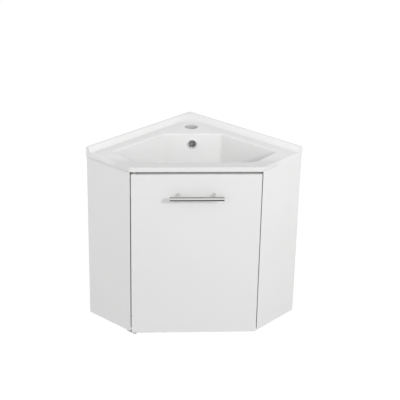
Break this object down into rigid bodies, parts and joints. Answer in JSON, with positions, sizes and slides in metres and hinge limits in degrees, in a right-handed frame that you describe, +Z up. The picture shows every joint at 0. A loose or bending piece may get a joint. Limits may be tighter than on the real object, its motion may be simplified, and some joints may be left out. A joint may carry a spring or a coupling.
{
  "type": "corner vanity unit",
  "caption": "Wall-hung corner cabinet under a one-piece basin top with upstand, tap hole and overflow, closed by a hinged door with a bar handle.",
  "frame": {"origin": "the room corner, where the planes of the two walls meet, at the height of the side panels' feet", "axes": "+X to the right along the front, +Y into the corner, +Z up; the front faces -Y and the walls lie at 45 degrees to X"},
  "size_m": [0.5944, 0.453, 0.5201],
  "materials": {
    "glazed_top": "gloss white glaze",
    "chrome_trim": "polished chrome plate",
    "grey_plastic": "moulded",
    "seal_rubber": "matte",
    "brass_nut": "as turned",
    "white_plastic": "moulded",
    "plated_steel": "nickel or zinc plate",
    "white_board": "white melamine-faced board",
    "bare_wood": "plain hardwood",
    "door_board": "white satin-faced board",
    "edge_strip": "white edge strip",
    "brushed_handle": "brushed along the bar"
  },
  "bodies": {
    "cabinet": {"basin_top": "glazed_top", "tap_corner": "glazed_top", "bowl_floor": "glazed_top", "overflow_ring": "chrome_trim", "overflow_grille": "grey_plastic", "waste_body": "chrome_trim", "waste_top_seal": "seal_rubber", "waste_lower_seal": "seal_rubber", "waste_nut": "brass_nut", "plug_guide": "white_plastic", "left_side_panel": "white_board", "right_side_panel": "white_board", "bottom_panel": "white_board", "left_upper_rail": "white_board", "right_upper_rail": "white_board", "left_lower_rail": "white_board", "right_lower_rail": "white_board", "upper_corner_block": "bare_wood", "lower_corner_block": "bare_wood", "cam_housings": "plated_steel", "cam_bolts": "plated_steel", "dowels": "bare_wood", "magnet_catch": "white_plastic", "catch_screws": "plated_steel", "upper_pivot_plate": "plated_steel", "lower_pivot_plate": "plated_steel", "pivot_pins": "plated_steel", "pivot_screws": "plated_steel"},
    "door": {"door_panel": "door_board", "door_edge_bands": "edge_strip", "door_bumpers": "white_plastic", "handle_bar": "brushed_handle", "handle_posts": "brushed_handle", "handle_screws": "plated_steel", "catch_strike": "plated_steel", "strike_screws": "plated_steel", "pivot_bushes": "white_plastic"},
    "plug": {"plug_cap": "chrome_trim", "plug_seal": "seal_rubber", "plug_stem": "plated_steel"}
  },
  "joints": [
    {"name": "door_hinge", "type": "hinge", "parent": "cabinet", "child": "door", "pos_m": [-0.16675, -0.40955, 0.2375], "axis": [0, 0, -1], "range_deg": [0, 110]},
    {"name": "plug_lift", "type": "slide", "parent": "cabinet", "child": "plug", "axis": [0, 0, 1], "range_m": [0, 0.009]}
  ]
}
